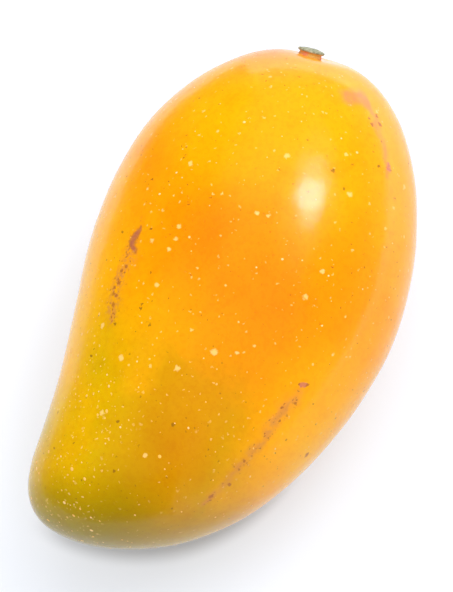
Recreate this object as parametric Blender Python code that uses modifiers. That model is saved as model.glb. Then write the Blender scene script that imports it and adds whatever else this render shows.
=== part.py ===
"""A whole ripe mango, lying on its cheek, with the short button of its cut stalk.

Metres, +Z up.  +X runs along the fruit to the stalk, and +Y is the side that the beak bends to.
The origin is on the surface that the mango rests on, under the middle of its bounding box.
"""

from math import acos, atan2, cos, exp, pi, radians, sin

import bmesh
import bpy
import numpy as np
from mathutils import Matrix, Vector

# ---------------------------------------------------------------- driving dimensions
FRUIT_LENGTH = 0.128  # from the pole at the stalk to the pole at the beak

# What the fruit measures at seven stations: every 30 degrees of arc from the stalk's pole to
# the beak's.  Between them each value follows one smooth curve, which is level at both poles.
HALF_WIDTH = (0.0438, 0.0437, 0.0412, 0.0388, 0.0378, 0.0450, 0.0503)
SIDE_BEND = (0.0, 0.0014, 0.0038, 0.0054, 0.0116, 0.0225, 0.0279)
THICKNESS_TO_WIDTH = (0.88, 0.86, 0.84, 0.84, 0.86, 0.86, 0.86)

# How it lies when it is at rest, and the small flat spot that it stands on.
STALK_END_RAISED = radians(2.4)
BEAK_SIDE_LOWERED = radians(7.5)
FLAT_SPOT_DEPTH = 0.0005

# The stalk stands a little above the pole and leans away from the side that the beak bends to.
STALK_FROM_POLE = radians(16.0)
STALK_AROUND = radians(98.0)
STALK_LEAN = radians(6.0)

# A shallow dimple takes the stalk, and a low shoulder swells beside it on the beak's side.
DIMPLE_FROM_POLE = radians(16.0)
DIMPLE_AROUND = radians(109.0)
DIMPLE_DEPTH = 0.0013
DIMPLE_RADIUS = 0.0062
SHOULDER_FROM_POLE = radians(19.0)
SHOULDER_AROUND = radians(46.0)
SHOULDER_HEIGHT = 0.0005
SHOULDER_RADIUS = 0.0100

# The stalk's button: a waist that flares into a thin rim, round a slightly domed cut face.
BUTTON_RIM_RADIUS = 0.0034
BUTTON_WAIST_RADIUS = 0.00275
BUTTON_FOOT_RADIUS = 0.0029
BUTTON_HEIGHT = 0.0017
BUTTON_RIM_THICKNESS = 0.0008
BUTTON_DOME = 0.0004
BUTTON_FOOT_DEPTH = 0.0012

GAP = 0.0003  # between the button's foot and its socket in the fruit

# ---------------------------------------------------------------- fineness
FRUIT_SEGMENTS = 72
FRUIT_RINGS = 52
BUTTON_SEGMENTS = 32
SLOPE_STEP = radians(0.05)  # half the arc over which a slope on the skin is taken


# ---------------------------------------------------------------- the fruit's form
def curve_through(values):
    """The cosine series that passes through values spaced evenly from pole to pole."""
    terms = np.arange(len(values))
    stations = terms * pi / (len(values) - 1)
    weights = np.linalg.solve(np.cos(np.outer(stations, terms)), values)

    def value_at(down):
        return float(np.cos(terms * down) @ weights)

    return value_at


half_width_at = curve_through(HALF_WIDTH)
side_bend_at = curve_through(SIDE_BEND)
thickness_ratio_at = curve_through(THICKNESS_TO_WIDTH)

LYING = Matrix.Rotation(-STALK_END_RAISED, 4, "Y") @ Matrix.Rotation(-BEAK_SIDE_LOWERED, 4, "X")


def plain_skin(down, around):
    """Skin without its dimple: down is the arc from the stalk's pole, around goes from +Y to the top."""
    across = half_width_at(down) * sin(down)
    x = FRUIT_LENGTH / 2 * cos(down)
    y = side_bend_at(down) + across * cos(around)
    z = across * thickness_ratio_at(down) * sin(around)
    return LYING @ Vector((x, y, z))


def plain_normal(down, around):
    """Direction straight out of the plain skin."""
    along = plain_skin(down + SLOPE_STEP, around) - plain_skin(down - SLOPE_STEP, around)
    across = plain_skin(down, around + SLOPE_STEP) - plain_skin(down, around - SLOPE_STEP)
    return along.cross(across).normalized()


DIMPLE_CENTRE = plain_skin(DIMPLE_FROM_POLE, DIMPLE_AROUND)
DIMPLE_NORMAL = plain_normal(DIMPLE_FROM_POLE, DIMPLE_AROUND)
SHOULDER_CENTRE = plain_skin(SHOULDER_FROM_POLE, SHOULDER_AROUND)
SHOULDER_NORMAL = plain_normal(SHOULDER_FROM_POLE, SHOULDER_AROUND)


def bell(point, centre, radius):
    """1 at the centre, falling smoothly to almost nothing at twice the radius."""
    away = (point - centre).length / radius
    return exp(-away * away)


def skin(down, around):
    """Skin with the dimple pushed in and the shoulder pushed out."""
    point = plain_skin(down, around)
    dimple = DIMPLE_NORMAL * DIMPLE_DEPTH * bell(point, DIMPLE_CENTRE, DIMPLE_RADIUS)
    shoulder = SHOULDER_NORMAL * SHOULDER_HEIGHT * bell(point, SHOULDER_CENTRE, SHOULDER_RADIUS)
    return point - dimple + shoulder


STALK_FOOT = skin(STALK_FROM_POLE, STALK_AROUND)
STALK_AXIS = Matrix.Rotation(-STALK_LEAN, 4, "Z") @ plain_normal(STALK_FROM_POLE, STALK_AROUND)


# ---------------------------------------------------------------- helpers
def collection(name):
    made = bpy.data.collections.new(name)
    bpy.context.scene.collection.children.link(made)
    return made


def material(name, color, roughness):
    made = bpy.data.materials.new(name)
    made.use_nodes = True
    shader = made.node_tree.nodes["Principled BSDF"]
    shader.inputs["Base Color"].default_value = (*color, 1.0)
    shader.inputs["Metallic"].default_value = 0.0
    shader.inputs["Roughness"].default_value = roughness
    made.diffuse_color = (*color, 1.0)
    return made


def object_from(name, mesh_maker, home, surface=None):
    """A smooth-shaded object whose mesh is what mesh_maker adds to an empty bmesh."""
    mesh = bpy.data.meshes.new(name)
    work = bmesh.new()
    mesh_maker(work)
    work.to_mesh(mesh)
    work.free()
    made = bpy.data.objects.new(name, mesh)
    home.objects.link(made)
    if surface:
        mesh.materials.append(surface)
        mesh.shade_smooth()
    return made


def cut(target, cutter):
    cutter.hide_render = True
    cutter.display_type = "WIRE"
    step = target.modifiers.new("cut " + cutter.name, "BOOLEAN")
    step.operation = "DIFFERENCE"
    step.solver = "EXACT"
    step.object = cutter


# ---------------------------------------------------------------- pieces
def add_fruit(work):
    """A sphere whose every vertex moves to the place that the fruit's rule gives it."""
    bmesh.ops.create_uvsphere(work, u_segments=FRUIT_SEGMENTS, v_segments=FRUIT_RINGS, radius=1.0)
    for vertex in work.verts:
        down = acos(max(-1.0, min(1.0, vertex.co.z)))
        around = atan2(vertex.co.y, vertex.co.x)
        vertex.co = skin(down, around)


def add_button_profile(work):
    """Half section of the button, from its middle out over the rim and down to its foot."""
    rim_top = BUTTON_HEIGHT - BUTTON_DOME
    rim_bottom = rim_top - BUTTON_RIM_THICKNESS
    rounding = BUTTON_RIM_THICKNESS / 3
    section = (
        (0.0, BUTTON_HEIGHT),
        (BUTTON_RIM_RADIUS - 2 * rounding, rim_top + BUTTON_DOME / 2),
        (BUTTON_RIM_RADIUS - rounding, rim_top),
        (BUTTON_RIM_RADIUS, rim_top - rounding),
        (BUTTON_RIM_RADIUS, rim_bottom + rounding),
        ((BUTTON_RIM_RADIUS + BUTTON_WAIST_RADIUS) / 2, rim_bottom),
        (BUTTON_WAIST_RADIUS, rim_bottom / 2),
        (BUTTON_FOOT_RADIUS, 0.0),
        (BUTTON_FOOT_RADIUS, -BUTTON_FOOT_DEPTH),
        (0.0, -BUTTON_FOOT_DEPTH),
    )
    corners = [work.verts.new((radius, 0.0, height)) for radius, height in section]
    for upper, lower in zip(corners, corners[1:]):
        work.edges.new((upper, lower))


def add_socket(work):
    """Round hole for the button's foot, with the gap all round it and under it."""
    depth = BUTTON_FOOT_DEPTH + GAP
    overshoot = 2 * DIMPLE_DEPTH
    radius = BUTTON_FOOT_RADIUS + GAP
    bmesh.ops.create_cone(
        work,
        cap_ends=True,
        segments=BUTTON_SEGMENTS,
        radius1=radius,
        radius2=radius,
        depth=depth + overshoot,
        matrix=Matrix.Translation((0.0, 0.0, (overshoot - depth) / 2)),
    )


def add_surface_block(work):
    """Block under the mango, whose top is the surface that it rests on."""
    side = 2 * FRUIT_LENGTH
    bmesh.ops.create_cube(work, size=side, matrix=Matrix.Translation((0.0, 0.0, -side / 2)))


def shift_to_origin(objects):
    """Move that brings the objects over the origin, with their lowest skin just under the surface."""
    graph = bpy.context.evaluated_depsgraph_get()
    corners = []
    for member in objects:
        shape = member.evaluated_get(graph)
        corners += [tuple(shape.matrix_world @ vertex.co) for vertex in shape.data.vertices]
    low, high = np.min(corners, axis=0), np.max(corners, axis=0)
    middle = (low + high) / 2
    return Vector((-middle[0], -middle[1], -low[2] - FLAT_SPOT_DEPTH))


# ---------------------------------------------------------------- the mango
for leftover in list(bpy.data.objects):
    bpy.data.objects.remove(leftover)

parts = collection("mango")
cutters = collection("cutters")

waxy_skin = material("mango_skin", (0.95, 0.45, 0.012), 0.33)
dry_stalk = material("dry_stalk", (0.34, 0.31, 0.17), 0.75)

fruit = object_from("fruit", add_fruit, parts, waxy_skin)
stem_stub = object_from("stem_stub", add_button_profile, parts, dry_stalk)
turning = stem_stub.modifiers.new("turn", "SCREW")
turning.axis = "Z"
turning.steps = BUTTON_SEGMENTS
turning.render_steps = BUTTON_SEGMENTS
turning.use_merge_vertices = True
turning.merge_threshold = 0.00001
turning.use_smooth_shade = True

socket = object_from("stalk_socket", add_socket, cutters)
resting_surface = object_from("resting_surface", add_surface_block, cutters)

stalk_pose = STALK_AXIS.to_track_quat("Z", "Y")
for turned in (stem_stub, socket):
    turned.rotation_mode = "QUATERNION"
    turned.rotation_quaternion = stalk_pose
    turned.location = STALK_FOOT

to_origin = shift_to_origin([fruit, stem_stub])
fruit.data.transform(Matrix.Translation(to_origin))
for turned in (stem_stub, socket):
    turned.location = STALK_FOOT + to_origin

cut(fruit, resting_surface)
cut(fruit, socket)
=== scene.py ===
# %% [markdown]
# # A ripe mango
#
# A whole mango is one closed, waxy skin with no hard edge anywhere.  What makes it look real is
# its bent, slightly uneven form, the slow drift of its colour from yellow through orange to
# olive, the pale pores scattered over it and a few healed scars.  The packed model gives the
# sizes and the place of the fruit and its stalk.  This lesson lays a finer skin over it.
#
# Everything is in metres, with +X along the fruit to the stalk, +Y to the side that the beak
# bends to, and +Z up.

# %% Load the packed model
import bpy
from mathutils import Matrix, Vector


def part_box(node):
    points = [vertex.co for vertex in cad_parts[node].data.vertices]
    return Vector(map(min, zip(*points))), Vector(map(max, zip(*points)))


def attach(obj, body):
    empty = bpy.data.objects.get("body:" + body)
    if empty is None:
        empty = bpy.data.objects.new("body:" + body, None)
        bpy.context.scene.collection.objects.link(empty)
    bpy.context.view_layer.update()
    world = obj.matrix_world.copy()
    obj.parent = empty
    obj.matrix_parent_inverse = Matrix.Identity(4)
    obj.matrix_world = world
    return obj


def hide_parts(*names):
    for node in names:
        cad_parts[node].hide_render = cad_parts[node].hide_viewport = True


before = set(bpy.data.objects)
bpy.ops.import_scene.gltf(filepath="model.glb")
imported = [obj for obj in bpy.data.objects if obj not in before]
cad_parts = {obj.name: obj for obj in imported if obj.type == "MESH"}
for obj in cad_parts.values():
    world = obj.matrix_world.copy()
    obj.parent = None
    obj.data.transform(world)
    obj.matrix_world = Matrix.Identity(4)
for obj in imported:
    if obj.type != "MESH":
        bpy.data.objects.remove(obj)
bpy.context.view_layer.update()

from math import cos, exp, pi, radians, sin

import bmesh
import bpy
import numpy as np
from mathutils import Matrix, Vector, noise
from mathutils.bvhtree import BVHTree

print("packed pieces:", sorted(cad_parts))

# %% [markdown]
# ## The camera
#
# Fruit on a table is usually seen from steeply above, with a long lens so that the near end
# doesn't swell.  The camera is aimed at a point a little off the middle of the fruit, and its
# direction is given by two angles: round from -Y, and up from the table.

# %% Place the camera
VIEW_ROUND = radians(-78.45)
VIEW_UP = radians(72.0)
VIEW_DISTANCE = 0.5
LENS_MM = 127.0
SENSOR_MM = 36.0
AIM = Vector((0.0012, 0.0031, 0.030))


def direction(around, up):
    """Unit vector out from the fruit: around from -Y towards +X, up from the table."""
    return Vector((sin(around) * cos(up), -cos(around) * cos(up), sin(up)))


camera_data = bpy.data.cameras.new("camera")
camera_data.lens = LENS_MM
camera_data.sensor_width = SENSOR_MM
camera = bpy.data.objects.new("camera", camera_data)
bpy.context.scene.collection.objects.link(camera)
camera.location = AIM + direction(VIEW_ROUND, VIEW_UP) * VIEW_DISTANCE
camera.rotation_euler = (AIM - camera.location).to_track_quat("-Z", "Y").to_euler()
bpy.context.scene.camera = camera
print("camera at, mm:", [round(1000 * value) for value in camera.location])

# %% [markdown]
# ## A small language for nodes
#
# Materials and Geometry Nodes are both trees of nodes, and adding them one by one hides the
# idea behind a lot of typing.  Two short classes help.  `Tree.add` makes any node from its type,
# its settings and what goes into its sockets.  `Wire` wraps an output and turns Python's
# operators into Math nodes, so that a formula in the script reads like a formula.

# %% Define Wire
class Wire:
    """A node's output.  Arithmetic on wires adds Math nodes to the same tree."""

    def __init__(self, tree, node, output):
        self.tree = tree
        self.node = node
        self.output = output

    def other(self, name):
        """Another output of the same node."""
        return Wire(self.tree, self.node, self.tree.find(self.node.outputs, name))

    def math(self, operation, *values):
        return self.tree.add("ShaderNodeMath", {"operation": operation}, dict(enumerate(values)))

    def __add__(self, value):
        return self.math("ADD", self, value)

    def __radd__(self, value):
        return self.math("ADD", value, self)

    def __sub__(self, value):
        return self.math("SUBTRACT", self, value)

    def __rsub__(self, value):
        return self.math("SUBTRACT", value, self)

    def __mul__(self, value):
        return self.math("MULTIPLY", self, value)

    def __rmul__(self, value):
        return self.math("MULTIPLY", value, self)

    def __truediv__(self, value):
        return self.math("DIVIDE", self, value)

    def __rtruediv__(self, value):
        return self.math("DIVIDE", value, self)

    def __pow__(self, value):
        return self.math("POWER", self, value)

    def __neg__(self):
        return self.math("MULTIPLY", self, -1.0)

    def exp(self):
        return self.math("EXPONENT", self)

    def at_least(self, value):
        return self.math("MAXIMUM", self, value)

    def at_most(self, value):
        return self.math("MINIMUM", self, value)

    def clamped(self):
        return self.at_least(0.0).at_most(1.0)

    def ramp(self, low, high):
        """0 below low, 1 above high, with a soft S between them.  low may be above high."""
        sockets = {"Value": self, "From Min": low, "From Max": high}
        return self.tree.add("ShaderNodeMapRange", {"interpolation_type": "SMOOTHSTEP"}, sockets)


print("Wire ready, with", sum(name.startswith("__") for name in vars(Wire)), "special methods")


# %% Define Tree
class Tree:
    """A node tree being written, for a material or for Geometry Nodes."""

    def __init__(self, tree):
        self.tree = tree

    @staticmethod
    def find(sockets, key):
        if isinstance(key, int):
            return sockets[key]
        return next(socket for socket in sockets if socket.enabled and socket.name == key)

    def add(self, kind, settings=None, sockets=None, output=None):
        """Add a node: its settings first, then the value or the wire of each socket."""
        node = self.tree.nodes.new(kind)
        for name, value in (settings or {}).items():
            setattr(node, name, value)
        self.fill(node, sockets or {})
        enabled = [socket for socket in node.outputs if socket.enabled]
        if output is None:
            return Wire(self, node, enabled[0] if enabled else None)
        return Wire(self, node, self.find(node.outputs, output))

    def fill(self, node, sockets):
        """Link each wire to its socket, and put any other value on the socket itself."""
        for key, value in sockets.items():
            socket = self.find(node.inputs, key)
            if isinstance(value, Wire):
                self.tree.links.new(value.output, socket)
            else:
                socket.default_value = value

    def mix(self, factor, below, above):
        """Blend two colours, by a number from 0 to 1."""
        sockets = {"Factor": factor, "A": below, "B": above}
        return self.add("ShaderNodeMix", {"data_type": "RGBA", "clamp_factor": True}, sockets)

    def vector(self, operation, *values):
        return self.add("ShaderNodeVectorMath", {"operation": operation}, dict(enumerate(values)))

    def scaled(self, vector, factor):
        sockets = {0: vector, "Scale": factor}
        return self.add("ShaderNodeVectorMath", {"operation": "SCALE"}, sockets)

    def distance(self, start, end):
        sockets = {0: start, 1: end}
        return self.add("ShaderNodeVectorMath", {"operation": "DISTANCE"}, sockets, output="Value")

    def split(self, vector):
        wire = self.add("ShaderNodeSeparateXYZ", None, {"Vector": vector})
        return wire, wire.other("Y"), wire.other("Z")

    def join(self, x, y, z):
        return self.add("ShaderNodeCombineXYZ", None, {"X": x, "Y": y, "Z": z})

    def noise(self, vector, scale, detail=2.0, roughness=0.5):
        """Smooth random values about 0.5, with features about 1 / scale metres wide."""
        sockets = {"Vector": vector, "Scale": scale, "Detail": detail, "Roughness": roughness}
        return self.add("ShaderNodeTexNoise", None, sockets)

    def random(self, seed, low=0.0, high=1.0):
        """A random number for each point, the same every time for the same seed."""
        sockets = {"Min": low, "Max": high, "Seed": seed}
        return self.add("FunctionNodeRandomValue", {"data_type": "FLOAT"}, sockets, output="Value")

    def moved(self, geometry, **sockets):
        """The geometry with a new Position for every point, or an Offset from the old one."""
        return self.add("GeometryNodeSetPosition", None, {"Geometry": geometry, **sockets})

    def stored(self, geometry, name, value, data_type="FLOAT", domain="POINT"):
        """The geometry with a value kept on it as a named attribute."""
        settings = {"data_type": data_type, "domain": domain}
        sockets = {"Geometry": geometry, "Name": name, "Value": value}
        return self.add("GeometryNodeStoreNamedAttribute", settings, sockets)


print("Tree ready, with", sum(callable(value) for value in vars(Tree).values()), "methods")

# %% [markdown]
# Five functions start and finish what is written in that language.  A Geometry Nodes tree gets
# named inputs for its sizes, and ends by making its instances real and giving them their
# material.  It is run once, on a helper object, and only the plain mesh that it makes is kept.


# %% Define how materials, trees and pieces start and finish
def new_material(name):
    """A material, the tree to write it with, and its Principled shader."""
    material = bpy.data.materials.new(name)
    material.use_nodes = True
    return material, Tree(material.node_tree), material.node_tree.nodes["Principled BSDF"]


def geometry_tree(name, inputs):
    """A Geometry Nodes tree with named number inputs, and the wire of its input node."""
    group = bpy.data.node_groups.new(name, "GeometryNodeTree")
    group.interface.new_socket(name="Geometry", in_out="INPUT", socket_type="NodeSocketGeometry")
    for label, value in inputs.items():
        kind = "NodeSocketInt" if isinstance(value, int) else "NodeSocketFloat"
        group.interface.new_socket(name=label, in_out="INPUT", socket_type=kind)
    group.interface.new_socket(name="Geometry", in_out="OUTPUT", socket_type="NodeSocketGeometry")
    tree = Tree(group)
    return tree, tree.add("NodeGroupInput")


def finish_geometry(tree, geometry, material):
    """Every tree's end: real meshes in place of instances, and their material."""
    real = tree.add("GeometryNodeRealizeInstances", None, {"Geometry": geometry})
    return tree.add("GeometryNodeSetMaterial", None, {"Geometry": real, "Material": material})


def run_geometry_tree(name, tree, result, inputs, start=None):
    """Run a finished tree on a new object and keep only the plain mesh that it makes."""
    tree.add("NodeGroupOutput", None, {"Geometry": result})
    maker = bpy.data.objects.new(name + " maker", start or bpy.data.meshes.new(name + " start"))
    bpy.context.scene.collection.objects.link(maker)
    modifier = maker.modifiers.new("nodes", "NODES")
    modifier.node_group = tree.tree
    for item in tree.tree.interface.items_tree:
        if item.in_out == "INPUT" and item.name in inputs:
            modifier[item.identifier] = inputs[item.name]
    graph = bpy.context.evaluated_depsgraph_get()
    mesh = bpy.data.meshes.new_from_object(maker.evaluated_get(graph), depsgraph=graph)
    maker.modifiers.clear()
    bpy.data.objects.remove(maker)
    return mesh


def piece_from(name, mesh):
    """An object at the origin that holds the mesh, shaded smooth."""
    mesh.name = name
    mesh.shade_smooth()
    piece = bpy.data.objects.new(name, mesh)
    bpy.context.scene.collection.objects.link(piece)
    triangles = sum(len(face.vertices) - 2 for face in mesh.polygons)
    print(name, "has", triangles, "triangles")
    return piece


print("start and finish ready")

# %% [markdown]
# ## The fruit's form
#
# A mango grows from the stalk to the beak, so its form is told by how wide it is, and how far its
# middle line has bent, at stations between those two poles.  The packed solid follows the same
# rule, and the finer skin repeats its values.  A cosine series passes through the stations and
# is level at both poles, which closes the fruit without a point.
#
# `cos(k * down)` is a polynomial in `cos(down)`.  So on a unit sphere, where `cos(down)` is just
# the height, the whole rule becomes a few polynomials that Geometry Nodes can work out.

# %% State the fruit's measures
FRUIT_LENGTH = 0.128
HALF_WIDTH = (0.0438, 0.0437, 0.0412, 0.0388, 0.0378, 0.0450, 0.0503)
SIDE_BEND = (0.0, 0.0014, 0.0038, 0.0054, 0.0116, 0.0225, 0.0279)
THICKNESS_TO_WIDTH = (0.88, 0.86, 0.84, 0.84, 0.86, 0.86, 0.86)
STALK_END_RAISED = radians(2.4)
BEAK_SIDE_LOWERED = radians(7.5)
FLAT_SPOT_DEPTH = 0.0005
STALK_FROM_POLE = radians(16.0)
STALK_AROUND = radians(98.0)
STALK_LEAN = radians(6.0)
DIMPLE_FROM_POLE = radians(16.0)
DIMPLE_AROUND = radians(109.0)
DIMPLE_DEPTH = 0.0013
DIMPLE_RADIUS = 0.0062
SHOULDER_FROM_POLE = radians(19.0)
SHOULDER_AROUND = radians(46.0)
SHOULDER_HEIGHT = 0.0005
SHOULDER_RADIUS = 0.0100
print("length, mm:", 1000 * FRUIT_LENGTH, "from", len(HALF_WIDTH), "stations")


# %% Turn them into a rule
def powers_through(values):
    """Coefficients, in powers of cos(down), of the smooth curve through evenly spaced stations."""
    terms = np.arange(len(values))
    stations = terms * pi / (len(values) - 1)
    weights = np.linalg.solve(np.cos(np.outer(stations, terms)), values)
    return [float(value) for value in np.polynomial.chebyshev.cheb2poly(weights)]


def polynomial(variable, coefficients):
    """Horner's rule.  It works on a number, on an array and on a wire."""
    value = coefficients[-1]
    for coefficient in coefficients[-2::-1]:
        value = variable * value + coefficient
    return value


WIDTH_POWERS = powers_through(HALF_WIDTH)
BEND_POWERS = powers_through(SIDE_BEND)
RATIO_POWERS = powers_through(THICKNESS_TO_WIDTH)


def fruit_rule(sphere_x, sphere_y, height, length):
    """Where a point of a unit sphere goes on the fruit, before the fruit is laid down."""
    across = polynomial(height, WIDTH_POWERS)
    x = height * (length * 0.5)
    y = polynomial(height, BEND_POWERS) + across * sphere_x
    z = across * polynomial(height, RATIO_POWERS) * sphere_y
    return x, y, z


LYING = Matrix.Rotation(-STALK_END_RAISED, 3, "Y") @ Matrix.Rotation(-BEAK_SIDE_LOWERED, 3, "X")


def plain_skin(down, around):
    """The rule in Python: skin points before the fruit is moved into the frame."""
    out = np.sin(down)
    point = fruit_rule(out * np.cos(around), out * np.sin(around), np.cos(down), FRUIT_LENGTH)
    return np.stack(np.broadcast_arrays(*point), axis=-1) @ np.array(LYING).T


print("half width in powers of cos(down):", [round(value, 4) for value in WIDTH_POWERS])

# %% Find where the rule's fruit has to stand to fill the packed fruit's box
every_down = np.linspace(0.0, pi, 181)[:, None]
every_around = np.linspace(0.0, 2.0 * pi, 361)[None, :]
plain_points = plain_skin(every_down, every_around).reshape(-1, 3)
fruit_low, fruit_high = (np.array(corner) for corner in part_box("fruit"))
rule_low = plain_points.min(axis=0)
TO_FRAME = Vector(fruit_low - rule_low)
TO_FRAME.z -= FLAT_SPOT_DEPTH
print("rule's size, mm:", np.round(1000 * np.ptp(plain_points, axis=0), 2))
print("packed fruit's size, mm:", np.round(1000 * (fruit_high - fruit_low), 2))

# %% Find the places and directions of the dimple, the shoulder and the stalk
SLOPE_STEP = radians(0.05)


def skin_place(down, around):
    """A point of the rule's skin in the frame, and the direction straight out of it."""
    along = plain_skin(down + SLOPE_STEP, around) - plain_skin(down - SLOPE_STEP, around)
    across = plain_skin(down, around + SLOPE_STEP) - plain_skin(down, around - SLOPE_STEP)
    place = Vector(plain_skin(down, around)) + TO_FRAME
    return place, Vector(np.cross(along, across)).normalized()


def bell(point, centre, radius):
    """1 at the centre, falling smoothly to almost nothing at twice the radius."""
    away = (point - centre).length / radius
    return exp(-away * away)


dimple_centre, dimple_out = skin_place(DIMPLE_FROM_POLE, DIMPLE_AROUND)
shoulder_centre, shoulder_out = skin_place(SHOULDER_FROM_POLE, SHOULDER_AROUND)
stalk_place, stalk_out = skin_place(STALK_FROM_POLE, STALK_AROUND)
stalk_axis = Matrix.Rotation(-STALK_LEAN, 3, "Z") @ stalk_out
stalk_foot = (
    stalk_place
    - dimple_out * DIMPLE_DEPTH * bell(stalk_place, dimple_centre, DIMPLE_RADIUS)
    + shoulder_out * SHOULDER_HEIGHT * bell(stalk_place, shoulder_centre, SHOULDER_RADIUS)
)
print("stalk's foot, mm:", [round(1000 * value, 2) for value in stalk_foot])

# %% [markdown]
# ## The skin
#
# A coarse sphere with a Subdivision Surface would be smooth too, but it couldn't follow the rule
# exactly, and its poles would pinch.  A fine UV sphere, whose every point a Geometry Nodes tree
# moves to its place on the fruit, follows it closely.  The tree then presses in the dimple round
# the stalk and lifts the shoulder beside it, makes the surface a little uneven, as flesh under a
# thin skin is, and flattens the spot that it lies on.  The unevenness only ever goes inwards, so
# the skin stays within the packed fruit.  The sphere's own UV map comes along: one sheet with
# one seam.

# %% Grow the skin with Geometry Nodes
FLAT_CLEARANCE = 0.00002
SWELL_DETAIL = 1.0
RIPPLE_DETAIL = 2.0

skin_inputs = {
    "Length": FRUIT_LENGTH,
    "Segments": 400,
    "Rings": 228,
    "Dimple Depth": DIMPLE_DEPTH,
    "Dimple Radius": DIMPLE_RADIUS,
    "Shoulder Height": SHOULDER_HEIGHT,
    "Swell Height": 0.0006,
    "Swell Width": 0.026,
    "Ripple Height": 0.00016,
    "Ripple Width": 0.0065,
}
form, given = geometry_tree("mango form", skin_inputs)
sphere = form.add(
    "GeometryNodeMeshUVSphere",
    None,
    {"Segments": given.other("Segments"), "Rings": given.other("Rings"), "Radius": 1.0},
)
position = form.add("GeometryNodeInputPosition")
on_the_rule = form.join(*fruit_rule(*form.split(position), given.other("Length")))
grown = form.moved(sphere, Position=on_the_rule)
with_uv = form.stored(grown, "OFBake", sphere.other("UV Map"), "FLOAT2", "CORNER")
laid_down = form.add(
    "GeometryNodeTransform",
    None,
    {
        "Geometry": with_uv,
        "Rotation": (-BEAK_SIDE_LOWERED, -STALK_END_RAISED, 0.0),
        "Translation": TO_FRAME,
    },
)
print("the form's tree has", len(form.tree.nodes), "nodes so far")


# %% Shape it round the stalk and make it uneven
def bell_of(centre, radius):
    """The bell as wires, round a centre in the frame."""
    share = form.distance(position, centre) / radius
    return (-(share * share)).exp()


dimple = bell_of(dimple_centre, given.other("Dimple Radius")) * given.other("Dimple Depth")
shoulder = bell_of(shoulder_centre, SHOULDER_RADIUS) * given.other("Shoulder Height")
at_the_stalk = form.vector(
    "ADD", form.scaled(dimple_out, -dimple), form.scaled(shoulder_out, shoulder)
)
shaped = form.moved(laid_down, Offset=at_the_stalk)
swell = form.noise(position, 1.0 / given.other("Swell Width"), SWELL_DETAIL)
ripple = form.noise(position, 1.0 / given.other("Ripple Width"), RIPPLE_DETAIL)
uneven = swell * given.other("Swell Height") + ripple * given.other("Ripple Height")
inwards = form.scaled(form.add("GeometryNodeInputNormal"), -uneven)
uneven_skin = form.moved(shaped, Offset=inwards)
x, y, z = form.split(position)
grounded = form.moved(uneven_skin, Position=form.join(x, y, z.at_least(FLAT_CLEARANCE)))

skin_material, paint, skin_shader = new_material("mango skin")
finished = finish_geometry(form, grounded, skin_material)
skin = piece_from("mango_skin", run_geometry_tree("mango form", form, finished, skin_inputs))
skin_points = np.empty(3 * len(skin.data.vertices), np.float32)
skin.data.vertices.foreach_get("co", skin_points)
skin_points = skin_points.reshape(-1, 3)
print("skin's low corner, mm:", np.round(1000 * skin_points.min(axis=0), 2))
print("skin's high corner, mm:", np.round(1000 * skin_points.max(axis=0), 2))

# %% [markdown]
# ## Where the scars run
#
# Each scar is a healed rub or a line of dried sap, so it runs along the fruit as a ragged band.
# Its path is a few given points, with the band's half width at each, and every point is
# first brought onto the skin itself.  The script measures how far every point of the skin is
# from the path, and keeps that as an attribute: 1 on the path, fading to 0 outside the band.
# The skin's material reads it and breaks it up with noise.  The noise that makes the bands
# wander starts from the clock unless it is given a seed, so it is given one: the scars then
# come out the same every time.

# %% Define how near a skin point is to a path
MM = 0.001
WANDER_SIZE = 0.0022
WANDER_REACH = 0.0007
skin_surface = BVHTree.FromPolygons(
    [vertex.co for vertex in skin.data.vertices], [face.vertices for face in skin.data.polygons]
)


def on_skin(place_mm):
    """The point of the skin nearest to a place given in millimetres."""
    return skin_surface.find_nearest(Vector(place_mm) * MM)[0]


def wandering(points):
    """The points shifted by a smooth noise, so that a band drawn through them wanders."""
    shifts = [noise.noise_vector(Vector(point) / WANDER_SIZE) for point in points.tolist()]
    return points + WANDER_REACH * np.array(shifts)


def near_path(points, path):
    """1 on a path of (x, y, z, half width) in millimetres, falling to 0 outside its band."""
    path = np.array([(*on_skin(place), half_width * MM) for *place, half_width in path])
    share_near = np.zeros(len(points))
    for start, end in zip(path[:-1], path[1:]):
        run = end[:3] - start[:3]
        share = np.clip((points - start[:3]) @ run / (run @ run), 0.0, 1.0)
        away = np.linalg.norm(points - start[:3] - share[:, None] * run, axis=1)
        half_width = start[3] + share * (end[3] - start[3])
        share_near = np.maximum(share_near, np.exp(-((away / half_width) ** 2)))
    return share_near


def store(piece, name, values):
    """Keep a number for every point of the piece, where its material can read it."""
    attribute = piece.data.attributes.new(name, "FLOAT", "POINT")
    attribute.data.foreach_set("value", np.asarray(values, np.float32))


print("skin ready to be searched")

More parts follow.
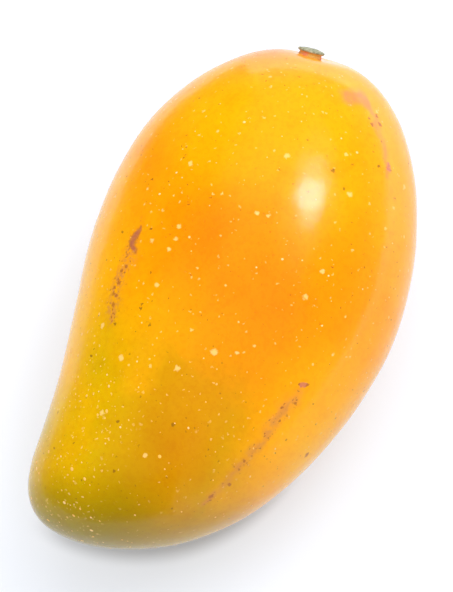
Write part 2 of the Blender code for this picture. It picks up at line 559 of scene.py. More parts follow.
# %% Draw the scars' paths and store them
STALK_SIDE_BLOTCH = (
    (46.6, -16.9, 56.5, 2.2), (48.2, -19.5, 54.2, 2.4), (47.2, -21.3, 53.9, 1.6),
)
STALK_SIDE_RUB = (
    (47.0, -21.3, 54.0, 1.1), (45.4, -22.9, 53.9, 0.9), (43.6, -23.9, 54.0, 1.2),
    (42.1, -24.4, 54.3, 1.3), (39.8, -25.5, 54.3, 1.0), (37.8, -26.9, 54.0, 1.1),
    (35.5, -27.9, 53.9, 0.8), (33.2, -28.6, 54.0, 0.9), (31.8, -29.3, 53.7, 0.9),
    (29.8, -29.2, 54.4, 0.5),
)
BEAK_SIDE_RUB = (
    (-25.0, -19.2, 53.9, 0.8), (-27.5, -18.4, 53.2, 1.6), (-29.3, -17.0, 53.2, 2.0),
    (-32.2, -15.5, 52.5, 1.4), (-34.9, -14.2, 51.8, 1.5), (-36.9, -13.7, 50.8, 1.0),
    (-39.4, -12.1, 50.2, 1.3), (-42.1, -10.4, 49.3, 1.6), (-44.7, -8.6, 48.4, 1.3),
    (-46.3, -7.8, 47.6, 1.1), (-49.0, -6.1, 46.1, 0.9), (-51.0, -4.2, 45.3, 0.9),
    (-52.6, -2.7, 44.3, 0.6),
)
SCAB = (
    (5.0, 24.5, 56.5, 0.4), (3.8, 24.4, 56.5, 0.9), (2.8, 25.0, 56.0, 1.1),
    (1.6, 25.7, 55.4, 1.1), (0.6, 25.2, 55.8, 0.9), (-0.6, 24.4, 56.3, 0.7),
)
SCAB_TRAIL = (
    (12, 24.4, 56.4, 0.5), (6, 24.6, 56.4, 0.8), (2, 25.6, 55.5, 1.4), (-2.7, 25.4, 55.4, 1.9),
    (-5.3, 26.1, 54.7, 1.5), (-9.2, 27.1, 53.3, 1.6), (-13.3, 26.9, 53.1, 1.9),
    (-17, 26.4, 53.2, 1.1),
)
SCAR_PATHS = {
    "stalk_side_blotch": STALK_SIDE_BLOTCH,
    "stalk_side_rub": STALK_SIDE_RUB,
    "beak_side_rub": BEAK_SIDE_RUB,
    "scab": SCAB,
    "scab_trail": SCAB_TRAIL,
}
WANDER_SEED = 7
noise.seed_set(WANDER_SEED)
wandering_points = wandering(skin_points)
for scar, path in SCAR_PATHS.items():
    store(skin, scar, near_path(wandering_points, path))
print("scars stored on", len(skin_points), "points:", ", ".join(SCAR_PATHS))

# %% [markdown]
# ## The skin's material
#
# The colour of a ripe mango drifts slowly, so it is built from a few wide, soft patches over a
# yellow ground: an orange blush on the upper cheek, lemon along the edges, olive towards the
# beak.  Each patch is a bell-shaped mask round a point, and a slow noise bends the coordinates
# so that no patch shows a clean edge.  The finer layers come after: a mottle, pores, dark specks
# and the scars.  Each layer is a mask from 0 to 1 that blends a colour over what lies below it,
# and each noise's scale is in features per metre.

# %% Bend the coordinates and define the patch
DRIFT_SCALE = 28.0
DRIFT_REACH = 0.016

surface = paint.add("ShaderNodeTexCoord", output="Object")
x, y, z = paint.split(surface)
drift = paint.noise(surface, DRIFT_SCALE)
drift_across = paint.noise(paint.vector("ADD", surface, (0.3, 0.1, 0.2)), DRIFT_SCALE)
along = x + (drift - 0.5) * DRIFT_REACH
across = y + (drift_across - 0.5) * DRIFT_REACH


def patch(centre, size):
    """Bell-shaped mask round (along, across), in millimetres, with a reach for each direction."""
    away_along = (along - centre[0] * MM) / (size[0] * MM)
    away_across = (across - centre[1] * MM) / (size[1] * MM)
    return (-(away_along * away_along + away_across * away_across)).exp()


print("coordinates bent by up to", 1000 * DRIFT_REACH / 2, "mm either way")

# %% Lay the ground, the lemon and the blush
YELLOW = (0.87, 0.36, 0.0, 1.0)
LEMON = (0.92, 0.48, 0.0, 1.0)
ORANGE = (0.87, 0.205, 0.0, 1.0)
BLUSH_PATCHES = (
    ((3, 7), (16, 15), 0.95),
    ((-8, -10), (18, 16), 0.92),
    ((4, -26), (20, 8), 0.50),
    ((-25, 0), (8, 9), 0.35),
    ((-42, 5), (20, 14), 0.65),
    ((20, 25), (12, 7), 0.55),
)
LEMON_PATCHES = (((0, 40), (44, 12), 1.0), ((-34, -28), (24, 12), 0.6), ((-49, 27), (5, 5), 0.3))

lemon = 0.0
for centre, size, strength in LEMON_PATCHES:
    lemon = (patch(centre, size) * strength).at_least(lemon)
blush = 0.0
for centre, size, strength in BLUSH_PATCHES:
    blush = blush + (1.0 - blush) * patch(centre, size) * strength
color = paint.mix(lemon, YELLOW, LEMON)
color = paint.mix(blush * z.ramp(0.020, 0.040), color, ORANGE)
print("colour patches:", len(BLUSH_PATCHES) + len(LEMON_PATCHES))

# %% Turn it olive and green towards the beak
NO_TINT = (1.0, 1.0, 1.0, 1.0)
OLIVE_TINT = (0.68, 0.95, 1.0, 1.0)
GREEN_TINT = (0.40, 0.66, 1.0, 1.0)
CLOUD_SCALE = 60.0
MOTTLE_SCALE = 130.0

clouds = paint.noise(surface, CLOUD_SCALE)
mottle = paint.noise(surface, MOTTLE_SCALE, 4.0, 0.62)
olive = along.ramp(-0.004, -0.034) * across.ramp(-0.017, -0.002)
olive = olive * across.ramp(0.040, 0.026).at_least(along.ramp(-0.022, -0.042))
# Yellower patches on the beak, where the olive is held back: partly the skin's own yellow, partly
# a painted soft highlight on the beak's crest.
golden_and_crest_highlight = (patch((-31, 18), (6, 6)) * 0.35).at_least(patch((-45, 34), (12, 6)) * 0.35)
olive = olive * (1.0 - golden_and_crest_highlight) * (1.14 - clouds.ramp(0.35, 0.65) * 0.14)
olive = (olive * (1.12 - mottle.ramp(0.36, 0.64) * 0.24)).clamped()
green = along.ramp(-0.047, -0.062) * across.ramp(-0.010, 0.020)
tint = paint.mix(green, paint.mix(olive, NO_TINT, OLIVE_TINT), GREEN_TINT)
color = paint.vector("MULTIPLY", color, tint)
print("olive laid:", len(paint.tree.nodes), "nodes so far")

# %% Paint shade on the beak's rim, add the peach round the stalk and the mottle
BEAK_RIM_SHADE = (0.80, 0.83, 0.9)
DULLER = (0.86, 0.80, 1.0)
BRIGHTER = (1.02, 1.13, 1.0)
DEEPER = (0.95, 0.84, 1.0)
PEACH = (0.90, 0.27, 0.06, 1.0)
GRAIN_SCALE = 900.0


def tinted(factor, tint):
    """The skin's colour so far, multiplied by a tint where the factor is 1."""
    return paint.mix(factor, color, paint.vector("MULTIPLY", color, tint))


grain = paint.noise(surface, GRAIN_SCALE, 3.0, 0.6)
from_beak = ((x + 0.0155) ** 2.0 + (y - 0.022) ** 2.0) ** 0.5
# Painted shade: the rim of the beak's tip is darkened to a grey green where it turns away from the
# light.
color = tinted(from_beak.ramp(0.0435, 0.0480) * x.ramp(-0.044, -0.054), BEAK_RIM_SHADE)
color = tinted(patch((-43, 13), (9, 8)) * 0.8, DULLER)
color = paint.mix(patch((57, 5), (9, 10)) * 0.9, color, PEACH)
color = tinted(mottle.ramp(0.50, 0.68) * 0.40, BRIGHTER)
color = tinted(mottle.ramp(0.48, 0.32) * 0.45, DEEPER)
color = tinted(grain.ramp(0.52, 0.40) * 0.40, DEEPER)
print("mottle laid:", len(paint.tree.nodes), "nodes so far")

# %% [markdown]
# ## Dots and scars
#
# A Voronoi texture fills space with cells, and a ball about each cell's point cuts the skin in a
# dot.  Where the skin only grazes a ball the dot is small, so the dots come out in every size.
# The same dots, set close, are the pinholes that break up the scars.  A fine wobble of the
# coordinates makes every dot ragged.

# %% Add the pores and the specks
CREAM = (0.86, 0.55, 0.16, 1.0)
SPECK = (0.24, 0.10, 0.006, 1.0)
WOBBLE_SCALE = 1500.0
WOBBLE_REACH = (0.0010, 0.0010, 0.0010)

wobble_sockets = {"Vector": surface, "Scale": WOBBLE_SCALE, "Detail": 1.0}
wobble = paint.add("ShaderNodeTexNoise", None, wobble_sockets, output="Color")
wobble = paint.vector("SUBTRACT", wobble, (0.5, 0.5, 0.5))
ragged_surface = paint.vector("MULTIPLY_ADD", wobble, WOBBLE_REACH, surface)


def dots(size, width):
    """Ragged dots, of a width in metres, where the skin cuts balls set about a size apart."""
    sockets = {"Vector": ragged_surface, "Scale": 1.0 / size}
    cells = paint.add("ShaderNodeTexVoronoi", {"feature": "F1"}, sockets, output="Distance")
    chance = paint.split(cells.other("Color"))[0]
    return (cells / (0.5 * width / size * (0.7 + chance * 0.6))).ramp(1.0, 0.35)


crowded = along.ramp(-0.020, -0.038) * across.ramp(0.014, 0.028)
pores = dots(0.0030, 0.00085) * 0.75 * (1.0 - along.ramp(-0.020, -0.038) * 0.6)
pores = pores.at_least(dots(0.0020, 0.00055) * 0.60)
pores = pores.at_least(dots(0.0014, 0.00060) * crowded * 0.60)
specks = dots(0.0029, 0.00062) * 0.75
specks = specks.at_least(dots(0.0019, 0.00040) * 0.60)
color = paint.mix(pores, color, CREAM)
color = paint.mix(specks, color, SPECK)
print("pores and specks painted:", len(paint.tree.nodes), "nodes so far")

# %% Add the blotch and the rub beside the stalk
PINK = (0.88, 0.23, 0.075, 1.0)
APRICOT = (0.80, 0.23, 0.045, 1.0)
RUSSET = (0.36, 0.105, 0.018, 1.0)
LUMP_SCALE = 420.0


def read(name):
    """The number that is kept on the skin under that name."""
    return paint.add("ShaderNodeAttribute", {"attribute_name": name}, output="Fac")


lumps = paint.noise(surface, LUMP_SCALE, 3.0, 0.6)
pinholes = dots(0.00095, 0.00068)
blotch = read("stalk_side_blotch").ramp(0.05, 0.90) * (0.70 + lumps.ramp(0.38, 0.62) * 0.30)
color = paint.mix(blotch, color, PINK)
stalk_side_rub = read("stalk_side_rub")
rubbed = stalk_side_rub * (0.45 + lumps.ramp(0.30, 0.60) * 0.45)
color = paint.mix(rubbed, color, APRICOT)
pitted = stalk_side_rub.ramp(0.10, 0.60) * pinholes * lumps.ramp(0.50, 0.66) * 0.7
color = paint.mix(pitted, color, RUSSET)
print("stalk side painted:", len(paint.tree.nodes), "nodes so far")

# %% Add the rub beside the beak
TAN = (0.60, 0.23, 0.045, 1.0)

beak_side_rub = read("beak_side_rub")
rubbed = beak_side_rub * (0.35 + lumps.ramp(0.35, 0.60) * 0.50)
color = paint.mix(rubbed, color, TAN)
pitted = beak_side_rub.ramp(0.10, 0.55) * pinholes * lumps.ramp(0.40, 0.56) * 0.9
color = paint.mix(pitted, color, RUSSET)
print("beak side painted:", len(paint.tree.nodes), "nodes so far")

# %% Add the scab and the trail that runs on from it
PLUM = (0.42, 0.11, 0.12, 1.0)
CRUMB_SCALE = 1100.0

crumbs = paint.noise(surface, CRUMB_SCALE, 3.0, 0.65)
scab = read("scab")
scab_trail = read("scab_trail")
shade = (scab_trail ** 0.35) * x.ramp(0.012, 0.000) * crumbs.ramp(0.25, 0.60) * 0.75
color = tinted(shade, DULLER)
dried = scab_trail * crumbs.ramp(0.38, 0.62) * x.ramp(0.004, -0.001) * 0.85
color = paint.mix(dried, color, TAN)
pitted = scab_trail.ramp(0.15, 0.60) * pinholes * (0.40 + x.ramp(0.004, -0.004) * 0.45)
color = paint.mix(pitted, color, RUSSET)
crust = (scab + crumbs * 0.8).ramp(0.45, 1.25) * (0.55 + lumps.ramp(0.35, 0.60) * 0.35)
color = paint.mix(crust, color, RUSSET)
color = paint.mix((scab + lumps * 1.2).ramp(1.15, 1.70) * 0.35, color, PLUM)
print("scab painted:", len(paint.tree.nodes), "nodes so far")

# %% [markdown]
# The largest spots are few enough to place one by one: healed nicks, bruises, dark spots and wide
# pores, each given by its place and its radius in millimetres.  A spot is where the skin is
# nearer to that place than the radius, so its place has to lie on the skin, and is brought
# there first.

# %% List the single spots and the widest pores
HEALED_NICKS = (
    (-4.4, 25.6, 55.2, 0.7), (-5.3, 26.5, 54.3, 0.7), (-8.1, 26.5, 54.0, 0.8),
    (-9.2, 27.4, 53.1, 0.6), (-10.7, 27.3, 53.0, 0.7), (-11.1, 26.6, 53.6, 0.6),
    (-13.3, 26.7, 53.2, 0.8), (-16.1, 26.6, 53.0, 0.5), (44.7, -24.3, 53.1, 0.75),
    (42.6, -25.3, 53.2, 0.8), (42.7, -22.6, 55.3, 0.6), (41.3, -23.6, 55.2, 0.8),
    (-35.6, -23.5, 38.7, 0.9), (-23.9, -18.8, 54.7, 0.55), (-23.3, -20.7, 53.7, 0.6),
    (38.0, -26.4, 54.3, 0.4), (-27.9, -18.8, 52.6, 0.6), (-32.4, -16.0, 52.0, 0.5),
    (-42.4, -10.0, 49.4, 0.6), (-47.7, -7.7, 46.2, 0.6), (-51.0, -4.2, 45.3, 0.7),
)
BRUISES = (
    (-23.6, -19.4, 54.4, 0.9), (-23.5, -20.0, 54.0, 0.9), (31.6, -29.4, 53.6, 0.9),
    (32.7, -29.2, 53.7, 0.9),
)
DARK_SPOTS = (
    (4.3, 28.4, 53.0, 0.5), (4.6, 21.4, 58.5, 0.4), (-13.3, 19.7, 58.1, 0.5),
    (-12.5, 17.5, 59.3, 0.4), (17.2, 24.1, 56.2, 0.5), (-14.3, 19.9, 57.8, 0.6),
    (-17.9, 25.3, 53.8, 0.5), (-18.0, 16.9, 58.7, 0.5), (-25.0, 29.5, 49.3, 0.5),
    (-38.9, 7.0, 56.4, 0.6), (-40.1, 19.6, 53.8, 0.5), (-50.7, 18.1, 50.6, 0.5),
    (25.3, -16.8, 62.4, 0.7), (21.8, -20.1, 61.5, 0.5), (31.0, -26.9, 56.0, 0.6),
)
WIDE_PORES = (
    (1.7, 20.6, 59.0, 0.70), (2.2, 15.1, 61.7, 0.70), (5.2, 15.0, 61.8, 0.70),
    (45.9, -24.1, 52.5, 0.60), (16.9, -31.3, 54.3, 0.6), (30.1, -33.7, 48.8, 0.6),
    (22.9, -32.2, 52.6, 0.55), (26.0, -5.9, 64.4, 0.80), (30.5, -19.1, 60.7, 0.65),
    (21.0, -21.8, 60.9, 0.85), (10.7, -1.9, 65.4, 0.70), (10.5, -4.7, 65.4, 0.60),
    (1.2, -19.0, 61.8, 0.80), (-5.6, -16.4, 61.8, 0.80), (21.0, 15.7, 60.9, 0.75),
    (-0.4, 16.2, 61.1, 0.70), (-8.7, 17.3, 59.9, 0.75), (-18.1, 28.3, 51.2, 0.75),
    (-25.8, 22.0, 55.0, 0.95), (-22.1, 1.2, 61.2, 0.95), (-26.9, 8.6, 59.5, 0.85),
    (-38.4, 23.6, 52.2, 0.75), (-46.4, 11.9, 53.4, 0.75),
)
print("single spots:", len(HEALED_NICKS + BRUISES + DARK_SPOTS + WIDE_PORES))


# %% Paint them
def spots(places):
    """Ragged spots at (x, y, z, radius) in millimetres: 1 in the middle of each, 0 outside."""
    nearest = 1.0
    for *place, radius in places:
        away = paint.distance(ragged_surface, on_skin(place))
        nearest = (away / (radius * MM)).at_most(nearest)
    return nearest.ramp(1.0, 0.45)


for places, strength, spot_color in (
    (WIDE_PORES, 0.75, CREAM),
    (BRUISES, 0.65, PLUM),
    (HEALED_NICKS, 0.80, RUSSET),
    (DARK_SPOTS, 0.80, SPECK),
):
    color = paint.mix(spots(places) * strength, color, spot_color)
print("single spots painted:", len(paint.tree.nodes), "nodes so far")

# %% [markdown]
# The wax gives a satin sheen that is a little duller where the skin is mottled or scabbed.  A
# little light scatters in the flesh under the skin, red farthest and blue least, which keeps
# the shaded side warm.

# %% Finish the skin's shader
relief = grain * 0.5 + pores * 0.5 - specks * 0.5
bump_sockets = {"Strength": 0.25, "Distance": 0.0002, "Height": relief}
paint.fill(
    skin_shader,
    {
        "Base Color": color,
        "Roughness": 0.12 + mottle * 0.05 + scab * 0.20,
        "Normal": paint.add("ShaderNodeBump", None, bump_sockets),
        "IOR": 1.33,
        "Subsurface Weight": 0.12,
        "Subsurface Radius": (1.0, 0.45, 0.08),
        "Subsurface Scale": 0.003,
    },
)
print("skin material has", len(paint.tree.nodes), "nodes")

# %% [markdown]
# ## The pale pores
#
# A mango breathes through lenticels: pale, corky pores, scattered thinly over the fruit and
# crowded together on the side of the beak.  They stand a hair proud of the skin and catch the
# light.  Geometry Nodes scatter them: points over the skin, a flat little ball sunk half into
# it at each, turned to the skin's normal, with a fixed seed so that they always fall in the
# same places.  A random number raised to a high power keeps most of them small.

# %% Scatter the pores with Geometry Nodes
CM2_IN_A_SQUARE_METRE = 10000.0
SMALL_ONES_FAVOURED = 4.0
STREAM = (0.87, 0.48, 0.0)
TONE_SEED = 21

pore_inputs = {
    "Pores per cm2": 6.0,
    "Closest": 0.0009,
    "Smallest": 0.00030,
    "Largest": 0.00085,
    "Thickness": 0.00007,
    "Seed": 7,
}
pore_material, cork, cork_shader = new_material("pore")
scatter, given = geometry_tree("pore scatter", pore_inputs)
position = scatter.add("GeometryNodeInputPosition")
x, y, z = scatter.split(position)
crowded = x.ramp(-0.018, -0.036) * y.ramp(0.012, 0.028)
off_the_table = z.ramp(0.0010, 0.0030)
points = scatter.add(
    "GeometryNodeDistributePointsOnFaces",
    {"distribute_method": "POISSON"},
    {
        "Mesh": given,
        "Distance Min": given.other("Closest"),
        "Density Max": given.other("Pores per cm2") * CM2_IN_A_SQUARE_METRE,
        "Density Factor": (0.20 + crowded * 0.80) * off_the_table,
        "Seed": given.other("Seed"),
    },
)
spread = given.other("Largest") - given.other("Smallest")
chance = scatter.random(given.other("Seed"))
width = given.other("Smallest") + chance ** SMALL_ONES_FAVOURED * spread
stretch = scatter.random(given.other("Seed") + 1.0, 0.7, 1.2) + x.ramp(0.0, -0.045) * 0.3
upright = scatter.add(
    "FunctionNodeAlignRotationToVector", {"axis": "Z"}, {"Vector": points.other("Normal")}
)
turned = scatter.add(
    "FunctionNodeAlignRotationToVector",
    {"axis": "X", "pivot_axis": "Z"},
    {"Rotation": upright, "Vector": STREAM},
)
ball = scatter.add("GeometryNodeMeshUVSphere", None, {"Segments": 10, "Rings": 6, "Radius": 0.5})
domes = scatter.add(
    "GeometryNodeInstanceOnPoints",
    None,
    {
        "Points": scatter.stored(points, "tone", scatter.random(TONE_SEED)),
        "Instance": scatter.stored(ball, "height", z * 2.0),
        "Rotation": turned,
        "Scale": scatter.join(width * stretch, width, given.other("Thickness")),
    },
)
finished = finish_geometry(scatter, domes, pore_material)
pores_mesh = run_geometry_tree("pore scatter", scatter, finished, pore_inputs, skin.data)
pores_piece = piece_from("pores", pores_mesh)

# %% Colour the pores
CORK_EDGE = (0.87, 0.36, 0.01, 1.0)
DARK_CORK = (0.85, 0.46, 0.06, 1.0)
PALE_CORK = (0.85, 0.60, 0.24, 1.0)
tone = cork.add("ShaderNodeAttribute", {"attribute_name": "tone"}, output="Fac")
height = cork.add("ShaderNodeAttribute", {"attribute_name": "height"}, output="Fac")
cork_color = cork.mix(height.ramp(0.0, 0.7), CORK_EDGE, cork.mix(tone, DARK_CORK, PALE_CORK))
cork.fill(cork_shader, {"Base Color": cork_color, "Roughness": 0.5})
print("pores coloured from", len(cork.tree.nodes), "nodes")

# %% [markdown]
# ## The stalk's button
#
# Where the stalk was cut a short button is left, with a thin dry rim that has curled a little
# outward and a fibrous face.  It is turned, like the packed one, and then roughened: its rim
# wanders in and out and its side is drawn into fine upright folds.  A turned section is quickest
# written as rings of points, joined by faces, in bmesh.

# %% Draw the button's section
BUTTON_RIM_RADIUS = 0.0034
BUTTON_WAIST_RADIUS = 0.00275
BUTTON_FOOT_RADIUS = 0.0029
BUTTON_HEIGHT = 0.0017
BUTTON_MIDDLE = 0.0016
BUTTON_SIDES = 144
RIM_WANDER = 0.00012
RIM_STARTS = 0.0005

button_section = (
    (BUTTON_FOOT_RADIUS, -0.0009),
    (BUTTON_FOOT_RADIUS, 0.0),
    (0.99 * BUTTON_WAIST_RADIUS, 0.00025),
    (1.00 * BUTTON_WAIST_RADIUS, 0.00045),
    (0.91 * BUTTON_RIM_RADIUS, 0.00062),
    (0.97 * BUTTON_RIM_RADIUS, 0.00075),
    (0.995 * BUTTON_RIM_RADIUS, 0.00092),
    (0.985 * BUTTON_RIM_RADIUS, 0.00110),
    (0.94 * BUTTON_RIM_RADIUS, 0.00124),
    (0.86 * BUTTON_RIM_RADIUS, 0.00130),
    (0.74 * BUTTON_RIM_RADIUS, 0.00136),
    (0.58 * BUTTON_RIM_RADIUS, 0.00150),
    (0.42 * BUTTON_RIM_RADIUS, 0.00158),
    (0.22 * BUTTON_RIM_RADIUS, 0.00162),
)
upright_to_stalk = stalk_axis.to_track_quat("Z", "Y").to_matrix()
print("button's height, mm:", 1000 * BUTTON_HEIGHT)


# %% Turn it and fold its side
def button_point(radius, level, around):
    """A point of the button's side, drawn in by its folds and lifted by its wandering rim."""
    out = Vector((cos(around), sin(around), 0.0))
    fold = noise.noise(3.0 * out + Vector((0.0, 0.0, 0.8 + 400.0 * level)))
    fine = noise.noise(11.0 * out + Vector((0.0, 0.0, 300.0 * level)))
    lift = noise.noise(2.0 * out + Vector((0.0, 0.0, 5.0))) if level > RIM_STARTS else 0.0
    local = radius * (0.97 + 0.03 * fold + 0.02 * fine) * out
    local.z = level + RIM_WANDER * lift
    return stalk_foot + upright_to_stalk @ local


work = bmesh.new()
rings = []
levels = []
turns = [2.0 * pi * side / BUTTON_SIDES for side in range(BUTTON_SIDES)]
for radius, level in button_section:
    rings.append([work.verts.new(button_point(radius, level, around)) for around in turns])
    levels += [level] * BUTTON_SIDES
middle = work.verts.new(stalk_foot + upright_to_stalk @ Vector((0.0, 0.0, BUTTON_MIDDLE)))
levels.append(BUTTON_MIDDLE)
neighbours = [(side, (side + 1) % BUTTON_SIDES) for side in range(BUTTON_SIDES)]
for lower, upper in zip(rings, rings[1:]):
    for side, ahead in neighbours:
        work.faces.new((lower[side], lower[ahead], upper[ahead], upper[side]))
work.faces.new(list(reversed(rings[0])))
for side, ahead in neighbours:
    work.faces.new((rings[-1][side], rings[-1][ahead], middle))
button_mesh = bpy.data.meshes.new("stalk_button")
work.to_mesh(button_mesh)
work.free()
button = piece_from("stalk_button", button_mesh)
store(button, "height", np.array(levels) / BUTTON_HEIGHT)

# %% Colour the button
GREEN_SIDE = (0.62, 0.36, 0.07, 1.0)
RED_SIDE = (0.66, 0.20, 0.10, 1.0)
DARK_FIBRE = (0.13, 0.14, 0.07, 1.0)
PALE_FIBRE = (0.50, 0.48, 0.33, 1.0)

button_material, dry, dry_shader = new_material("dry stalk")
button.data.materials.append(button_material)
place = dry.add("ShaderNodeTexCoord", output="Object")
level = dry.add("ShaderNodeAttribute", {"attribute_name": "height"}, output="Fac")
fibre = dry.noise(place, 1400.0, 4.0, 0.65)
stain = dry.noise(place, 260.0)
side_color = dry.mix(stain.ramp(0.42, 0.60), GREEN_SIDE, RED_SIDE)
rim_color = dry.mix(fibre.ramp(0.35, 0.68), DARK_FIBRE, PALE_FIBRE)
dry_color = dry.mix((level + fibre * 0.16).ramp(0.42, 0.52), side_color, rim_color)
bump_sockets = {"Strength": 0.6, "Distance": 0.0002, "Height": fibre}
dry_bump = dry.add("ShaderNodeBump", None, bump_sockets)
dry.fill(dry_shader, {"Base Color": dry_color, "Normal": dry_bump, "Roughness": 0.75})
print("button coloured from", len(dry.tree.nodes), "nodes")

# %% [markdown]
# ## The studio: floor
#
# The floor is a white sweep, lit well past white, and it also glows a little: that glow is painted
# light.  It is strongest towards the key light, a painted pool of light.  A glow knows nothing of
# shadow, so it would wash out the soft shade where the fruit meets the floor: it is masked out
# in an oval under the fruit, and in a round patch that follows the outline of the beak, which
# leaves painted shadow there.

# %% Lay the floor
FLOOR_SIDE = 6.0
FLOOR_BELOW = 0.0001
PAPER = (0.44, 0.465, 0.51, 1.0)
PLAIN_GLOW = (0.95, 0.965, 1.0, 1.0)
KEY_SIDE_LIGHT_POOL = (3.0, 3.0, 3.1, 1.0)
PAINTED_SHADOW_GLOW = (0.0, 0.0, 0.0, 1.0)
OVAL_HALF_LENGTH = 0.060
OVAL_HALF_WIDTH = 0.034

floor_mesh = bpy.data.meshes.new("floor")
work = bmesh.new()
bmesh.ops.create_grid(work, x_segments=1, y_segments=1, size=FLOOR_SIDE / 2)
work.to_mesh(floor_mesh)
work.free()
floor = bpy.data.objects.new("floor", floor_mesh)
floor.location.z = -FLOOR_BELOW
bpy.context.scene.collection.objects.link(floor)
paper, sheet, paper_shader = new_material("white paper")
floor_mesh.materials.append(paper)
floor_x, floor_y, _ = sheet.split(sheet.add("ShaderNodeTexCoord", output="Object"))
towards_key = floor_x * 0.75 - floor_y * 0.66
from_beak = ((floor_x + 0.0155) ** 2.0 + (floor_y - 0.022) ** 2.0) ** 0.5
# Painted shadow along the beak's outline, where the floor's glow is cut.
beak_painted_shadow = from_beak.ramp(0.0480, 0.0425)
beak_painted_shadow = beak_painted_shadow * floor_x.ramp(0.0, -0.040) * floor_y.ramp(0.042, 0.030)
# Painted shadow in an oval under the fruit, where the floor's glow is cut.
lengthwise = (floor_x * 0.985 - floor_y * 0.17) / OVAL_HALF_LENGTH
sideways = (floor_x * 0.17 + floor_y * 0.985 - 0.004) / OVAL_HALF_WIDTH
fruit_painted_shadow = ((lengthwise ** 2.0 + sideways ** 2.0) ** 0.5).ramp(1.0, 0.50)
# Painted light: the floor's glow grows into a pool of light towards the key light.
glow_color = sheet.mix(towards_key.ramp(0.10, 0.42), PLAIN_GLOW, KEY_SIDE_LIGHT_POOL)
glow_color = sheet.mix(beak_painted_shadow.at_least(fruit_painted_shadow) * 0.75, glow_color, PAINTED_SHADOW_GLOW)
sheet.fill(
    paper_shader,
    {
        "Base Color": PAPER,
        "Emission Color": glow_color,
        "Emission Strength": 0.44,
        "Roughness": 0.9,
    },
)
print("floor laid,", FLOOR_SIDE, "m a side")

# %% [markdown]
# ## The studio: flag
#
# Black flags are stood beside a glossy thing, so that its edges mirror something darker than
# the white floor and keep their colour.  This one is a bent wall on the +Y side.  Only mirrored
# light sees it: it throws no shadow, and neither the camera nor the diffuse light knows of it.
# Its foot is paler, so that it meets the floor without a hard line in the wax.

# %% Stand the flag
FLAG_PLAN = (
    (0.17, 0.06), (0.12, 0.10), (0.05, 0.13), (-0.07, 0.135), (-0.14, 0.10), (-0.18, -0.05),
)
FLAG_HEIGHT = 0.40
FLAG_FOOT = (0.5, 0.5, 0.5, 1.0)
FLAG_WALL = (0.05, 0.05, 0.05, 1.0)

flag_mesh = bpy.data.meshes.new("dark flag")
flag_mesh.from_pydata(
    [(x, y, z) for x, y in FLAG_PLAN for z in (0.0, FLAG_HEIGHT)],
    [],
    [(2 * step, 2 * step + 2, 2 * step + 3, 2 * step + 1) for step in range(len(FLAG_PLAN) - 1)],
)
flag = bpy.data.objects.new("dark flag", flag_mesh)
bpy.context.scene.collection.objects.link(flag)
felt, cloth, felt_shader = new_material("dark felt")
flag_mesh.materials.append(felt)
felt_height = cloth.split(cloth.add("ShaderNodeTexCoord", output="Object"))[2]
cloth.fill(
    felt_shader,
    {
        "Base Color": (0.0, 0.0, 0.0, 1.0),
        "Emission Color": cloth.mix(felt_height.ramp(0.0, 0.035), FLAG_FOOT, FLAG_WALL),
        "Emission Strength": 1.0,
        "Roughness": 1.0,
    },
)
flag.visible_camera = False
flag.visible_diffuse = False
flag.visible_shadow = False
print("flag stood,", len(FLAG_PLAN) - 1, "panels")

# %% [markdown]
# ## The studio: lights
#
# Four broad panels light the skin and don't show in the wax.  What the wax mirrors is a soft box
# with a fainter spill round it, which light nothing else.  Keeping the two apart lets the
# highlight be small and clear while the shading stays soft.  The room itself glows most at the
# horizon and fades upwards, which draws the pale rims.

# %% Hang the lights
WHITE = (1.0, 1.0, 1.0)
COOL_WHITE = (0.82, 0.74, 1.0)
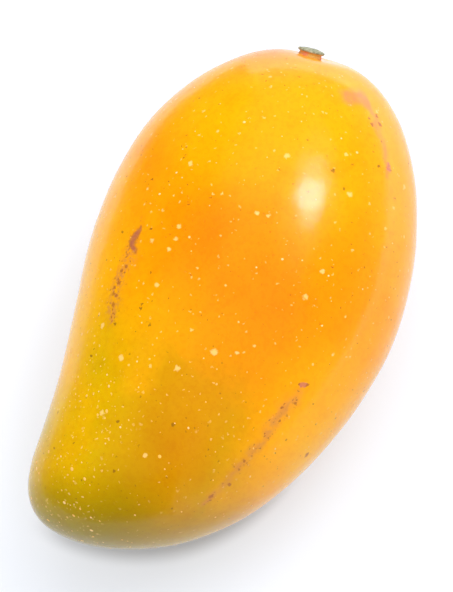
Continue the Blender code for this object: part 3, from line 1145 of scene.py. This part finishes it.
# name, degrees round and up, distance, size, radiance, what it reaches, roll in degrees, tone
PANELS = (
    ("key panel", 51.0, 54.0, 0.9, (0.5, 0.5), 4.7, "skin", 0.0, WHITE),
    ("overhead panel", 225.0, 76.0, 1.3, (2.4, 2.4), 1.40, "skin", 0.0, WHITE),
    ("end panel", 95.0, 48.0, 1.2, (1.0, 1.0), 1.9, "skin", 0.0, WHITE),
    ("low panel", 325.0, 30.0, 1.2, (0.9, 0.9), 0.70, "skin", 0.0, WHITE),
    ("soft box", 50.5, 53.5, 0.9, (0.26, 0.11), 20.0, "wax", 49.0, COOL_WHITE),
    ("soft box's spill", 50.0, 54.5, 0.91, (0.17, 0.30), 6.0, "wax", 49.0, COOL_WHITE),
)


def hang_panel(name, around, up, distance, size, radiance, reach, roll, tone):
    """A rectangular light, aimed at the fruit, as bright as a white surface times radiance."""
    light = bpy.data.lights.new(name, "AREA")
    light.color = tone
    light.shape = "RECTANGLE"
    light.size, light.size_y = size
    light.energy = radiance * pi * size[0] * size[1]
    lamp = bpy.data.objects.new(name, light)
    lamp.location = AIM + direction(radians(around), radians(up)) * distance
    facing = (AIM - lamp.location).to_track_quat("-Z", "Y").to_matrix()
    lamp.rotation_euler = (facing @ Matrix.Rotation(radians(roll), 3, "Z")).to_euler()
    lamp.visible_glossy = reach == "wax"
    lamp.visible_diffuse = reach == "skin"
    bpy.context.scene.collection.objects.link(lamp)


for panel in PANELS:
    hang_panel(*panel)
print("lights hung:", len(PANELS))

# %% Light the room
HORIZON_HAZE = 0.3
HORIZON_GLOW = 0.38
ROOM_GLOW = 0.22

world = bpy.data.worlds.new("room")
world.use_nodes = True
room = Tree(world.node_tree)
upward = room.split(room.add("ShaderNodeTexCoord", output="Generated"))[2] / HORIZON_HAZE
glow = (-(upward * upward)).exp() * HORIZON_GLOW + ROOM_GLOW
background = world.node_tree.nodes["Background"]
room.fill(background, {"Color": (0.95, 0.97, 1.0, 1.0), "Strength": glow})
bpy.context.scene.world = world
bpy.context.scene.view_settings.view_transform = "Standard"
print("room glows from", ROOM_GLOW, "overhead to", ROOM_GLOW + HORIZON_GLOW, "at the horizon")

# %% [markdown]
# ## Tying the pieces to the packed model
#
# Every visible piece rides on the packed body.  The skin and the button stand in for packed
# pieces, which are hidden.  The pores stand for none: they are a detail of the skin.  The floor
# and the flag are stage.

# %% Tie the pieces to the packed model
for piece, packed, slot in ((skin, "fruit", "mango_skin"), (button, "stem_stub", "dry_stalk")):
    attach(piece, "root")
    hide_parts(packed)
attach(pores_piece, "root")

bpy.context.view_layer.update()
